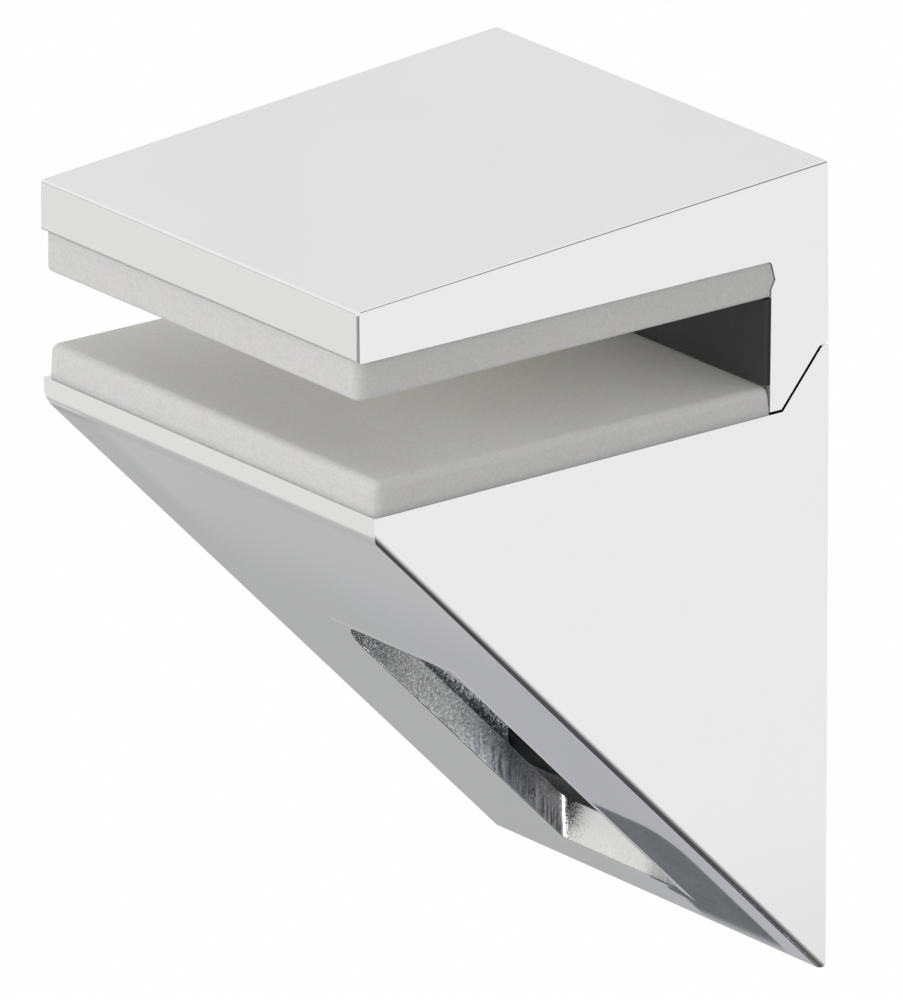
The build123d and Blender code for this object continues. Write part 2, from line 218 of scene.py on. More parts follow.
class ClipScrews(bpy.types.PropertyGroup):
    """Sizes of the two socket-head screws."""

    clamp_shank: length("Clamp screw radius", "Radius over the M5 thread", 2.5)
    clamp_pitch: length("Clamp screw pitch", "M5 coarse", 0.8)
    clamp_head: length("Clamp head height", "Height of the head", 3.5)
    clamp_socket: length("Clamp socket", "Across the flats", 3.0)
    clamp_socket_depth: length("Clamp socket depth", "Depth of the hexagon", 2.0)
    clamp_knurls: IntProperty(name="Knurls", description="Grooves round the head", default=44)
    lock_shank: length("Lock screw radius", "Radius over the M3 thread", 1.5)
    lock_pitch: length("Lock screw pitch", "M3 coarse", 0.5)
    lock_head: length("Lock head height", "Height of the head", 2.0)
    lock_socket: length("Lock socket", "Across the flats", 2.0)
    lock_socket_depth: length("Lock socket depth", "Depth of the hexagon", 1.2)
    lock_knurls: IntProperty(name="Knurls", description="Grooves round the head", default=32)
    knurl_depth: length("Knurl depth", "Depth of the grooves", 0.12)
    rim: length("Rim", "Rounding of a head's outer edge", 0.35)


class ClipStage(bpy.types.PropertyGroup):
    """Camera, floor and light tent."""

    azimuth: turn("Azimuth", "Camera round the clip, from the front towards +X", 52.4)
    elevation: turn("Elevation", "Camera above the horizon", 19.605)
    roll: turn("Roll", "Camera about its own axis", -0.284)
    distance: length("Distance", "Camera to the point it looks at", 1816.0)
    lens: FloatProperty(name="Lens", description="Focal length in millimetres", default=870.16)
    aim: FloatVectorProperty(
        name="Aim",
        description="Point the camera looks at",
        default=(-11.457 * MM, -10.985 * MM, 6.961 * MM),
        subtype="TRANSLATION",
        precision=5,
    )
    floor_drop: length("Floor drop", "Floor below the origin", 160.0)
    floor_size: length("Floor size", "Side of the floor", 6000.0)
    floor_tone: share("Floor tone", "Grey of the floor for all but the camera", 0.66)
    floor_white: share("Floor white", "How far the camera sees the floor as plain white", 0.99)
    tent: share("Tent", "Brightness of the tent that the metal mirrors", 0.88)
    table_half: length("Table half", "Half the side of the card under the clip", 1000.0)
    table_drop: length("Table drop", "Card under the clip, below the origin", 250.0)
    front_size: length("Front lamp size", "Side of the lamp before the clip", 1200.0)
    front_distance: length("Front lamp distance", "From the clip to the front lamp", 1400.0)
    front_power: FloatProperty(
        name="Front lamp", description="Watts of the lamp before the clip", default=8.6
    )
    slot_power: FloatProperty(
        name="Slot lamp", description="Watts of the lamp between the pads", default=0.0004
    )
    window_power: FloatProperty(
        name="Window lamp", description="Watts of the lamp below the window", default=0.0045
    )
    hollow_power: FloatProperty(
        name="Hollow lamp", description="Watts of the low lamp for the hollow", default=0.004
    )
    block_front: length("Block front", "From the wall to the front of the mirrored block", 12.8)
    block_right: length("Block right", "From the middle to the mirrored block's side", 16.7)
    block_distance: length("Block distance", "From the slanted face along the reflection", 6.0)
    fill: share("Fill", "Light that falls from all round", 0.55)


class Field:
    """A shader socket that takes part in Python arithmetic."""

    def __init__(self, maker, socket):
        self.maker = maker
        self.socket = socket

    def __add__(self, other):
        return self.maker.math("ADD", self, other)

    def __sub__(self, other):
        return self.maker.math("SUBTRACT", self, other)

    def __mul__(self, other):
        return self.maker.math("MULTIPLY", self, other)

    def __truediv__(self, other):
        return self.maker.math("DIVIDE", self, other)

    def __neg__(self):
        return self.maker.math("MULTIPLY", self, -1)

    def __rsub__(self, other):
        return self.maker.math("SUBTRACT", other, self)

    __radd__ = __add__
    __rmul__ = __mul__


class Maker:
    """Adds the nodes of one material or world."""

    def __init__(self, owner):
        owner.use_nodes = True
        self.tree = owner.node_tree
        self.tree.nodes.clear()

    def node(self, kind, settings=None, sockets=None):
        """Any node: its settings go first, then the values or links of its sockets."""
        made = self.tree.nodes.new(kind)
        for key, value in (settings or {}).items():
            if key == "stops":
                self._stops(made.color_ramp, value)
            else:
                setattr(made, key, value)
        for key, value in (sockets or {}).items():
            self._feed(made.inputs[key], value)
        return made

    def _stops(self, ramp, stops):
        for index, (place, tone) in enumerate(stops):
            spot = ramp.elements[index] if index < 2 else ramp.elements.new(place)
            spot.position = place
            spot.color = tone

    def _feed(self, target, value):
        if value is None:
            return
        if isinstance(value, Field):
            self.tree.links.new(value.socket, target)
        elif isinstance(value, bpy.types.NodeSocket):
            self.tree.links.new(value, target)
        elif target.type == "RGBA" and len(value) == 3:
            target.default_value = (*value, 1)
        else:
            target.default_value = value

    def field(self, kind, output, settings=None, sockets=None):
        """One output of a new node, as a field."""
        return Field(self, self.node(kind, settings, sockets).outputs[output])

    def math(self, operation, first, second=None):
        """One Math node."""
        made = self.node("ShaderNodeMath", {"operation": operation})
        self._feed(made.inputs[0], first)
        self._feed(made.inputs[1], second)
        return Field(self, made.outputs[0])

    def ramp(self, value, low, high, out_low=0.0, out_high=1.0):
        """A smooth step from one level to another."""
        return self.field(
            "ShaderNodeMapRange",
            "Result",
            {"interpolation_type": "SMOOTHSTEP"},
            {
                "Value": value,
                "From Min": low,
                "From Max": high,
                "To Min": out_low,
                "To Max": out_high,
            },
        )

    def place(self):
        """Object coordinates."""
        return self.field("ShaderNodeTexCoord", "Object")

    def axes(self, vector):
        """The three parts of a vector."""
        parts = self.node("ShaderNodeSeparateXYZ", None, {0: vector})
        return [Field(self, out) for out in parts.outputs]

    def stretched(self, vector, factors):
        """A vector with each part times its own factor."""
        return self.field(
            "ShaderNodeVectorMath", "Vector", {"operation": "MULTIPLY"}, {0: vector, 1: factors}
        )

    def scaled(self, vector, factor):
        """A vector or colour times a number that may vary."""
        return self.field(
            "ShaderNodeVectorMath", "Vector", {"operation": "SCALE"}, {0: vector, "Scale": factor}
        )

    def noise(self, vector, per_mm, detail=2.0, roughness=0.5, stretch=(1, 1, 1)):
        """Noise from 0 to 1, with its grain given per millimetre."""
        scale = [per_mm * part / MM for part in stretch]
        return self.field(
            "ShaderNodeTexNoise",
            "Fac",
            None,
            {
                "Vector": self.stretched(vector, scale),
                "Scale": 1.0,
                "Detail": detail,
                "Roughness": roughness,
            },
        )

    def blend(self, factor, first, second):
        """A mix of two colours."""
        made = self.node("ShaderNodeMix", {"data_type": "RGBA"})
        self._feed(made.inputs["Factor"], factor)
        self._feed(made.inputs[6], first)
        self._feed(made.inputs[7], second)
        return Field(self, made.outputs[2])

    def graded(self, along, tones):
        """A colour that runs through tones at their places from 0 to 1."""
        stops = [(place, (*tone, 1)) for place, tone in tones]
        return self.field("ShaderNodeValToRGB", "Color", {"stops": stops}, {"Fac": along})

    def bump(self, height, distance):
        """A bumped normal, with the height's unit given in metres."""
        return self.field(
            "ShaderNodeBump",
            "Normal",
            None,
            {"Height": height, "Distance": distance, "Strength": 1.0},
        )

    def glow(self, tone):
        """A shader that shines by itself."""
        return self.node("ShaderNodeEmission", None, {"Color": tone, "Strength": 1.0}).outputs[0]

    def clear(self):
        """A shader that lets everything through."""
        return self.node("ShaderNodeBsdfTransparent").outputs[0]

    def mixed(self, factor, first, second):
        """A mix of two shaders."""
        made = self.node("ShaderNodeMixShader", None, {0: factor, 1: first, 2: second})
        return made.outputs[0]

    def output(self, shader, kind="ShaderNodeOutputMaterial"):
        """The output node of a material or world."""
        self.node(kind, None, {"Surface": shader})

    def surface(self, sockets):
        """The principled shader and the output."""
        self.output(self.node("ShaderNodeBsdfPrincipled", None, sockets).outputs[0])


def tinted(value, factor):
    """A colour times a number."""
    return tuple(part * factor for part in value)


def grey(level):
    """A neutral colour."""
    return (level, level, level)


def new_material(name):
    """An empty material and its maker."""
    material = bpy.data.materials.new(name)
    return material, Maker(material)


def seat_height(casting):
    """Height of the lower jaw's seat."""
    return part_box("lower_jaw")[1].z - casting.horn_height


def above_slant(maker, place, casting):
    """Distance of a point from the slanted underside, into the wedge."""
    toe = seat_height(casting) - casting.wedge_drop
    _, y, z = maker.axes(place)
    depth = -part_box("lower_jaw")[0].y
    rise = casting.wedge_drop - casting.lip_height
    return ((z - toe) * depth + y * rise) / math.hypot(rise, depth)


def lower_inside(maker, place, casting):
    """1 inside the lower jaw and its window, 0 on the polished outside."""
    low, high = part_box("lower_jaw")
    seat = seat_height(casting)
    x, y, z = maker.axes(place)
    skin = casting.skin_depth
    from_side = (maker.math("ABSOLUTE", x) * -1) + high.x
    inside = maker.ramp(above_slant(maker, place, casting), 0.03 * MM, 0.12 * MM)
    inside = inside * maker.ramp(from_side, skin, skin * 2)
    inside = inside * maker.ramp(y - low.y, skin, skin * 2)
    inside = inside * maker.ramp(seat - z, skin * 0.3, skin)
    return inside * maker.ramp(-y, skin * 0.3, skin)


def upper_inside(maker, place, casting):
    """1 on the upper jaw's tongue and boss, 0 on the polished outside."""
    seat = seat_height(casting)
    z = maker.axes(place)[2]
    return maker.ramp(seat - z, -casting.skin_depth, casting.skin_depth)


def polished(maker, place, finish):
    """Tone, roughness and relief of the bright outside."""
    haze = maker.noise(place, 0.10, 3)
    wipe = maker.noise(place, 1.6, 4, 0.6, (1, 0.25, 1))
    tone = maker.blend(haze, tinted(finish.chrome, 0.985), finish.chrome)
    return tone, haze * 0.02 + wipe * 0.015 + finish.chrome_roughness, wipe * 0.004


def off_mouth(maker, x, y, casting):
    """Distance of a point from the window's mouth, below 0 inside it."""
    off_sides = maker.math("ABSOLUTE", x) - casting.window_half
    off_ends = maker.math("MAXIMUM", -y - casting.window_front, y + casting.window_back)
    return maker.math("MAXIMUM", off_sides, off_ends)


def polished_wedge(maker, place, finish, casting):
    """The same on the lower jaw, with painted shade on its underside, painted glints along the
    window's near edge, and a roll at the window's edge.
    """
    tone, rough, relief = polished(maker, place, finish)
    x, y, _ = maker.axes(place)
    up = above_slant(maker, place, casting)
    cloud = maker.noise(place, 0.16, 3, 0.6)
    at_lip = maker.ramp(-y, *CLEAR_LIP_Y) * maker.ramp(x, *CLEAR_LIP_X)
    # painted shade under the wedge, cooler on its near side, cleared near the lip
    shaded_underside = maker.blend(maker.ramp(x, *COOL_SIDE_X), tuple(finish.haze), tuple(finish.cool_underside_shade))
    shaded_underside = maker.scaled(shaded_underside, cloud * 0.05 + 0.975)
    under = maker.ramp(up, *UNDERSIDE, 1, 0) * (1 - at_lip * 0.8)
    tone = maker.blend(under, tone, shaded_underside)
    away = off_mouth(maker, x, y, casting)
    rolled = maker.ramp(away, 0, casting.mouth_roll)
    # painted glints: dark and bright flecks along the window's near edge
    rim_glint_noise = maker.ramp(maker.noise(place, 4.5, 3, 0.8), 0.44, 0.52)
    rim = maker.ramp(away, *RIM_WIDTH, 1, 0) * maker.ramp(x, 0, casting.window_half)
    rim = rim * maker.ramp(-y, *RIM_START_Y) * under
    tone = maker.blend(rim, tone, maker.blend(rim_glint_noise, RIM_GLINT_SHADE, RIM_GLINT_LIGHT))
    return tone, rough, relief + rolled * under * 1.1


def cast_skin(maker, place, finish):
    """Tone, roughness and relief of plating over an unpolished casting."""
    grain = maker.noise(place, 3.4, 4, 0.7)
    cloud = maker.noise(place, 0.45, 2)
    mottle = maker.ramp(grain * 0.6 + cloud * 0.4, 0.35, 0.65)
    tone = maker.blend(mottle, tinted(finish.skin, 0.45), tinted(finish.skin, 0.85))
    return tone, grain * 0.16 + finish.skin_roughness, grain


def shaded_side_wall(maker, place, casting, grain, drag, scored):
    """Tone of the window's side walls, speckled, with drag lines where they are scored, and
    painted shade that darkens them towards the window's back.
    """
    y = maker.axes(place)[1]
    along = maker.ramp(y, -casting.window_front, -casting.window_back)
    fine = maker.noise(place, 7.0, 3, 0.75)
    speck = maker.ramp(grain * 0.35 + fine * 0.65 + (drag - fine) * scored, 0.38, 0.62)
    level = speck * (0.9 + scored * 0.5) + (0.55 - scored * 0.2)
    # painted shade: the graded tones darken the walls towards the window's back
    return maker.scaled(maker.graded(along, WALL_SHADE_TONES), level)


def lit_end_wall(maker, place, casting, grain, up):
    """Tone of the window's end wall, with painted light that makes it lighter than the side walls,
    and pitted in its corner.
    """
    x = maker.axes(place)[0]
    half = casting.window_half
    in_corner = maker.ramp(-x, half - 3.8 * MM, half - 0.2 * MM)
    fleck = maker.noise(place, 6.5, 3, 0.8)
    fleck = maker.ramp(fleck - in_corner * (up * (0.10 / MM) + 0.06), 0.24, 0.40)
    return maker.blend(fleck, PITTED, maker.scaled(LIT_END_WALL, grain * 0.2 + 0.90))


def window_skin(maker, place, finish, casting):
    """The same in the lower jaw, with painted shade and painted light on the window's walls, a
    painted highlight in its back corner, and painted shade with painted glints in the hollow.
    """
    x, y, _ = maker.axes(place)
    up = above_slant(maker, place, casting)
    half, front, back = casting.window_half, casting.window_front, casting.window_back
    grain = maker.noise(place, 3.0, 4, 0.75)
    drag = maker.noise(place, 5.0, 3, 0.6, (1, 1, 0.08))
    scored = maker.ramp(y, -0.6 * front, -0.3 * front)
    scored = scored * maker.ramp(SCORED_HEIGHT - up, 0, SCORED_FADE)
    tone = shaded_side_wall(maker, place, casting, grain, drag, scored)

    at_end = maker.ramp(y, -back - 0.22 * MM, -back - 0.1 * MM)
    at_end = at_end * (1 - maker.ramp(-x, half - 0.1 * MM, half))
    tone = maker.blend(at_end, tone, lit_end_wall(maker, place, casting, grain, up))
    # painted highlight: a bright line in the window's back corner
    in_corner = maker.ramp(-x, half - 0.24 * MM, half - 0.18 * MM)
    in_corner = in_corner * maker.ramp(y, -back - 0.28 * MM, -back - 0.22 * MM)
    tone = maker.blend(in_corner, tone, PAINTED_HIGHLIGHT)

    # painted shade deep in the hollow, with painted glints that grow thicker higher up
    hollow = maker.ramp(up, casting.slant_wall * 0.97, casting.slant_wall * 1.03)
    higher = maker.ramp(up, *GLINT_HEIGHT) * 0.26
    glint = maker.ramp(maker.noise(place, 6.0, 4, 0.8) + higher, 0.60, 0.66)
    tone = maker.blend(hollow, tone, maker.blend(glint, finish.hollow_shade, PAINTED_HIGHLIGHT))
    rough = grain * 0.2 + finish.skin_roughness
    return tone, rough + (drag * 0.5 - 0.1) * scored, grain * 0.7 + drag * scored


def mix_number(first, second, factor):
    """A number that goes from one to another."""
    return first + (second - first) * factor


def casting_material(name, finish, inside_of, polish_of, skin_of):
    """Bright plating, polished outside and left rough inside."""
    material, maker = new_material(name)
    place = maker.place()
    inside = inside_of(maker, place)
    outer_tone, outer_rough, outer_relief = polish_of(maker, place, finish)
    inner_tone, inner_rough, inner_relief = skin_of(maker, place, finish)
    maker.surface(
        {
            "Base Color": maker.blend(inside, outer_tone, inner_tone),
            "Metallic": 1.0,
            "Roughness": mix_number(outer_rough, inner_rough, inside),
            "Normal": maker.bump(mix_number(outer_relief, inner_relief, inside), CASTING_RELIEF),
        }
    )
    return material


def pad_material(name, finish, seam_z, seam_shade):
    """Milky plastic with a satin, faintly grained skin, with painted shade where it meets the
    metal.
    """
    material, maker = new_material(name)
    place = maker.place()
    cloud = maker.noise(place, 0.14, 3)
    blush = maker.noise(place, 0.30, 2)
    grain = maker.noise(place, 5.0, 3, 0.6)
    fine = maker.noise(place, 1.3, 2)
    rosy = (finish.pad[0] * 1.01, finish.pad[1] * 0.985, finish.pad[2])
    tone = maker.blend(cloud, tinted(finish.pad, 0.97), tinted(finish.pad, 1.02))
    tone = maker.blend(maker.ramp(blush, 0.45, 0.75), tone, rosy)
    speckle = maker.ramp(maker.noise(place, 4.6, 3, 0.7), 0.36, 0.64)
    tone = maker.scaled(tone, speckle * 0.08 + 0.96)
    # painted shade: a darker band along the seam where the pad meets the metal
    off_seam = maker.math("ABSOLUTE", maker.axes(place)[2] - seam_z)
    shade = maker.ramp(off_seam, 0, 0.7 * MM, seam_shade, 1)
    shade = shade * maker.ramp(off_seam, 0, 0.14 * MM, seam_shade - 0.02, 1)
    tone = maker.scaled(tone, shade)
    maker.surface(
        {
            "Base Color": tone,
            "Roughness": grain * 0.12 + cloud * 0.06 + (finish.pad_roughness - 0.08),
            "Subsurface Weight": 0.35,
            "Subsurface Radius": (1.0, 0.95, 0.85),
            "Subsurface Scale": 1.2 * MM,
            "Specular IOR Level": 0.35,
            "Normal": maker.bump(grain * 0.7 + fine * 0.5, PAD_RELIEF),
        }
    )
    return material


def strip_material(finish):
    """Dark rubber with a fine grain."""
    material, maker = new_material("dark_rubber")
    place = maker.place()
    grain = maker.noise(place, 6.0, 3, 0.6)
    bloom = maker.noise(place, 0.5, 3)
    tone = maker.blend(bloom, tinted(finish.strip, 0.8), tinted(finish.strip, 1.4))
    maker.surface(
        {
            "Base Color": tone,
            "Roughness": grain * 0.15 + 0.5,
            "Normal": maker.bump(grain, STRIP_RELIEF),
        }
    )
    return material


def zinc_material(name, finish, relief):
    """Zinc plating on pressed and turned steel."""
    material, maker = new_material(name)
    place = maker.place()
    bloom = maker.noise(place, 0.35, 3, 0.6)
    grain = maker.noise(place, 4.0, 3, 0.6)
    tone = maker.blend(bloom, tinted(finish.zinc, 0.84), tinted(finish.zinc, 1.08))
    maker.surface(
        {
            "Base Color": tone,
            "Metallic": 1.0,
            "Roughness": bloom * 0.1 + grain * 0.1 + (finish.zinc_roughness - 0.1),
            "Normal": maker.bump(grain, relief),
        }
    )
    return material


def dress(node, material):
    """Gives a construction node its finish."""
    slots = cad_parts[node].material_slots
    for slot in slots:
        slot.material = material


def deselect():
    """Clears the selection, which the import leaves full."""
    if bpy.context.object and bpy.context.object.mode != "OBJECT":
        bpy.ops.object.mode_set(mode="OBJECT")
    bpy.ops.object.select_all(action="DESELECT")


def clear_picks(kind):
    """Clears the selection in edit mode, and goes to object mode, where picks are set."""
    bpy.ops.mesh.select_mode(type=kind)
    bpy.ops.mesh.select_all(action="DESELECT")
    bpy.ops.object.mode_set(mode="OBJECT")


def pick_faces(piece, wanted):
    """Selects the faces of a piece in edit mode that a test accepts."""
    clear_picks("FACE")
    count = 0
    for face in piece.data.polygons:
        face.select = wanted(face)
        count += face.select
    bpy.ops.object.mode_set(mode="EDIT")
    if count == 0:
        raise RuntimeError(f"{piece.name}: no face was found to shape")


def pick_edges(piece, wanted):
    """Selects the edges of a piece in edit mode whose two ends a test accepts."""
    clear_picks("EDGE")
    points = piece.data.vertices
    count = 0
    for edge in piece.data.edges:
        first, second = (points[index].co for index in edge.vertices)
        edge.select = wanted(first, second)
        count += edge.select
    bpy.ops.object.mode_set(mode="EDIT")
    if count == 0:
        raise RuntimeError(f"{piece.name}: no edge was found to shape")


def onto_hexagon(piece, radius, z, flat_half):
    """Moves the ring of points at a height and radius onto a hexagon."""
    bpy.ops.object.mode_set(mode="OBJECT")
    moved = 0
    for point in piece.data.vertices:
        away = math.hypot(point.co.x, point.co.y)
        if abs(point.co.z - z) < 0.01 * MM and away < radius + 0.01 * MM:
            around = math.atan2(point.co.y, point.co.x)
            off_flat = (around + math.pi / 6) % (math.pi / 3) - math.pi / 6
            wanted = flat_half / math.cos(off_flat)
            point.co.x *= wanted / away
            point.co.y *= wanted / away
            moved += 1
    bpy.ops.object.mode_set(mode="EDIT")
    if moved == 0:
        raise RuntimeError(f"{piece.name}: the socket's ring was not found")


def socket_screw(name, sizes):
    """A knurled socket-head screw, head down, with the underside of its shank's root at 0."""
    ring = sizes["knurls"] * 3
    head = sizes["head"]
    deselect()
    bpy.ops.mesh.primitive_cylinder_add(
        vertices=ring, radius=sizes["head_radius"], depth=head, location=(0, 0, -head / 2)
    )
    piece = bpy.context.object
    piece.name = name
    piece.data.name = name
    bpy.ops.object.transform_apply(location=True, rotation=True, scale=True)
    bpy.ops.object.mode_set(mode="EDIT")
    tiny = 0.01 * MM
    core = sizes["shank"] - sizes["pitch"] * THREAD_DEPTH

    pick_faces(piece, lambda face: face.normal.z > 0.9)
    bpy.ops.mesh.inset(thickness=sizes["head_radius"] - core, depth=0)
    bpy.ops.mesh.extrude_region_move(
        TRANSFORM_OT_translate={"value": (0, 0, sizes["length"])}
    )
    top = sizes["length"]
    pick_edges(piece, lambda a, b: min(a.z, b.z) > top - tiny)
    bpy.ops.mesh.bevel(offset=sizes["pitch"] * 0.5, segments=1, affect="EDGES")

    inner = sizes["socket"] / 2 * HEXAGON_CORNERS
    pick_faces(piece, lambda face: face.normal.z < -0.9)
    bpy.ops.mesh.inset(thickness=sizes["head_radius"] - inner, depth=0)
    onto_hexagon(piece, inner, -head, sizes["socket"] / 2)
    bpy.ops.mesh.inset(thickness=sizes["socket"] * 0.03, depth=-sizes["socket"] * 0.03)
    bpy.ops.mesh.extrude_region_move(
        TRANSFORM_OT_translate={"value": (0, 0, sizes["socket_depth"])}
    )

    outer = sizes["head_radius"] - tiny
    pick_edges(
        piece,
        lambda a, b: max(a.z, b.z) < tiny - head
        and min(math.hypot(a.x, a.y), math.hypot(b.x, b.y)) > outer,
    )
    bpy.ops.mesh.bevel(offset=sizes["rim"], segments=4, affect="EDGES")
    knurl_side(piece, sizes, ring)
    bpy.ops.object.mode_set(mode="OBJECT")
    add_thread(piece, sizes, core)
    bpy.ops.object.shade_smooth_by_angle(angle=math.radians(32))
    return piece


def knurl_side(piece, sizes, ring):
    """Presses upright grooves into the side of a head."""
    step = math.tau / ring
    outer = sizes["head_radius"] * math.cos(step / 2) - 0.02 * MM
    tall = (sizes["head"] - sizes["rim"]) * 0.8

    def groove(face):
        """Every third strip of the straight side."""
        centre = face.center
        if abs(face.normal.z) > 0.1 or math.hypot(centre.x, centre.y) < outer:
            return False
        if face.area < tall * sizes["head_radius"] * step * 0.9:
            return False
        strip = math.floor((math.atan2(centre.y, centre.x) % math.tau) / step)
        return strip % 3 == 0

    pick_faces(piece, groove)
    bpy.ops.mesh.inset(
        thickness=sizes["head_radius"] * step * 0.25,
        depth=-sizes["knurl_depth"],
        use_individual=True,
    )


def add_thread(piece, sizes, core):
    """Winds a pointed ridge round the shank and joins it to the screw."""
    deselect()
    pitch = sizes["pitch"]
    turns = int((sizes["length"] - pitch * THREAD_FREE) / pitch)
    half_ridge, half_crest = pitch * RIDGE_HALF, pitch * CREST_HALF
    crest = sizes["shank"]
    bpy.ops.mesh.primitive_circle_add(vertices=4, radius=half_ridge, fill_type="NOTHING")
    ridge = bpy.context.object
    root = core - (crest - core) * 0.12
    profile = ((root, -half_ridge), (crest, -half_crest), (crest, half_crest), (root, half_ridge))
    for point, (away, up) in zip(ridge.data.vertices, profile):
        point.co = (away, 0, pitch * THREAD_START + up)
    wind = ridge.modifiers.new("wind", "SCREW")
    wind.axis = "Z"
    wind.screw_offset = pitch
    wind.iterations = turns
    wind.steps = THREAD_STEPS
    wind.render_steps = THREAD_STEPS
    wind.use_smooth_shade = False
    bpy.ops.object.modifier_apply(modifier="wind")
    bpy.ops.object.mode_set(mode="EDIT")
    bpy.ops.mesh.select_mode(type="EDGE")
    bpy.ops.mesh.select_all(action="DESELECT")
    bpy.ops.mesh.select_non_manifold()
    bpy.ops.mesh.edge_face_add()
    bpy.ops.mesh.select_all(action="SELECT")
    bpy.ops.mesh.normals_make_consistent(inside=False)
    bpy.ops.object.mode_set(mode="OBJECT")
    deselect()
    ridge.select_set(True)
    piece.select_set(True)
    bpy.context.view_layer.objects.active = piece
    bpy.ops.object.join()


def settle(piece, matrix):
    """Puts a piece in its place and leaves its object at the origin."""
    piece.matrix_world = matrix
    deselect()
    piece.select_set(True)
    bpy.context.view_layer.objects.active = piece
    bpy.ops.object.transform_apply(location=True, rotation=True, scale=True)


def finish_screw(piece, node, body, material):
    """Colours a screw, gives it its body and lets it stand for its node."""
    piece.data.materials.clear()
    piece.data.materials.append(material)
    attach(piece, body)
    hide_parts(node)


def screw_sizes(screws, kind, box, axis, fineness):
    """Sizes of one screw, from its settings and its node's box."""
    low, high = box
    keys = ("head", "shank", "pitch", "socket", "socket_depth", "knurls")
    sizes = {key: getattr(screws, f"{kind}_{key}") for key in keys}
    sizes["head_radius"] = (high.x - low.x) / 2
    sizes["length"] = high[axis] - low[axis] - sizes["head"]
    sizes["knurl_depth"] = screws.knurl_depth * fineness
    sizes["rim"] = screws.rim * fineness
    return sizes


class SHELFCLIP_OT_finish_jaws(bpy.types.Operator):
    """Plates the two jaws, bright outside and rough inside"""

    bl_idname = "shelfclip.finish_jaws"
    bl_label = "Finish the jaws"

    def execute(self, context):
        finish = context.scene.clip_finish
        casting = context.scene.clip_casting
        wedge_polish = partial(polished_wedge, casting=casting)
        wedge_skin = partial(window_skin, casting=casting)
        inside = partial(lower_inside, casting=casting)
        tongue = partial(upper_inside, casting=casting)
        lower = casting_material("lower_jaw_plating", finish, inside, wedge_polish, wedge_skin)
        upper = casting_material("upper_jaw_plating", finish, tongue, polished, cast_skin)
        dress("lower_jaw", lower)
        dress("upper_jaw", upper)
        return {"FINISHED"}


class SHELFCLIP_OT_finish_pads(bpy.types.Operator):
    """Gives the pads and the strip that touch the glass their plastic and rubber"""

    bl_idname = "shelfclip.finish_pads"
    bl_label = "Finish the pads"

    def execute(self, context):
        finish = context.scene.clip_finish
        casting = context.scene.clip_casting
        seat = seat_height(casting)
        ceiling = seat + casting.slot_height
        dress("lower_pad", pad_material("lower_milky_plastic", finish, seat, 0.86))
        dress("upper_pad", pad_material("upper_milky_plastic", finish, ceiling, 1.0))
        dress("back_strip", strip_material(finish))
        return {"FINISHED"}


class SHELFCLIP_OT_finish_fixings(bpy.types.Operator):
    """Zinc plates the wall plate, the washer and the retaining ring"""

    bl_idname = "shelfclip.finish_fixings"
    bl_label = "Finish the plate and washers"

    def execute(self, context):
        finish = context.scene.clip_finish
        turned = zinc_material("zinc_plating", finish, TURNED_RELIEF)
        dress("screw_washer", turned)
        dress("retaining_ring", turned)
        dress("wall_plate", zinc_material("zinc_plate", finish, PLATE_RELIEF))
        return {"FINISHED"}


class SHELFCLIP_OT_make_clamp_screw(bpy.types.Operator):
    """Makes the threaded screw that draws the upper jaw down"""

    bl_idname = "shelfclip.make_clamp_screw"
    bl_label = "Make the clamp screw"

    def execute(self, context):
        screws = context.scene.clip_screws
        low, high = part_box("clamp_screw")
        sizes = screw_sizes(screws, "clamp", (low, high), 2, 1)
        piece = socket_screw("clamp_screw_threaded", sizes)
        middle = (low + high) / 2
        root = Vector((middle.x, middle.y, low.z + sizes["head"]))
        settle(piece, Matrix.Translation(root))
        finish_screw(piece, "clamp_screw", "screw", bpy.data.materials["zinc_plating"])
        return {"FINISHED"}


class SHELFCLIP_OT_make_lock_screw(bpy.types.Operator):
    """Makes the threaded screw that holds the wedge to its plate"""

    bl_idname = "shelfclip.make_lock_screw"
    bl_label = "Make the lock screw"

    def execute(self, context):
        screws = context.scene.clip_screws
        low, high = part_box("lock_screw")
        sizes = screw_sizes(screws, "lock", (low, high), 1, LOCK_SCREW_FINENESS)
        piece = socket_screw("lock_screw_threaded", sizes)
        middle = (low + high) / 2
        root = Vector((middle.x, low.y + sizes["head"], middle.z))
        settle(piece, Matrix.Translation(root) @ Matrix.Rotation(math.radians(-90), 4, "X"))
        finish_screw(piece, "lock_screw", "base", bpy.data.materials["zinc_plating"])
        return {"FINISHED"}


def light_path(maker, output):
    """One output of the Light Path node."""
    return maker.field("ShaderNodeLightPath", output)


def tent_world(stage):
    """White behind the clip, pale in its reflections, and a soft fill on everything."""
    world = bpy.data.worlds.new("tent")
    maker = Maker(world)
    seen = light_path(maker, "Is Camera Ray")
    mirrored = light_path(maker, "Is Glossy Ray")
    tone = maker.blend(mirrored, grey(stage.fill), grey(stage.tent))
    tone = maker.blend(seen, tone, grey(1))
    shader = maker.node("ShaderNodeBackground", None, {"Color": tone, "Strength": 1.0})
    maker.output(shader.outputs[0], "ShaderNodeOutputWorld")
    bpy.context.scene.world = world


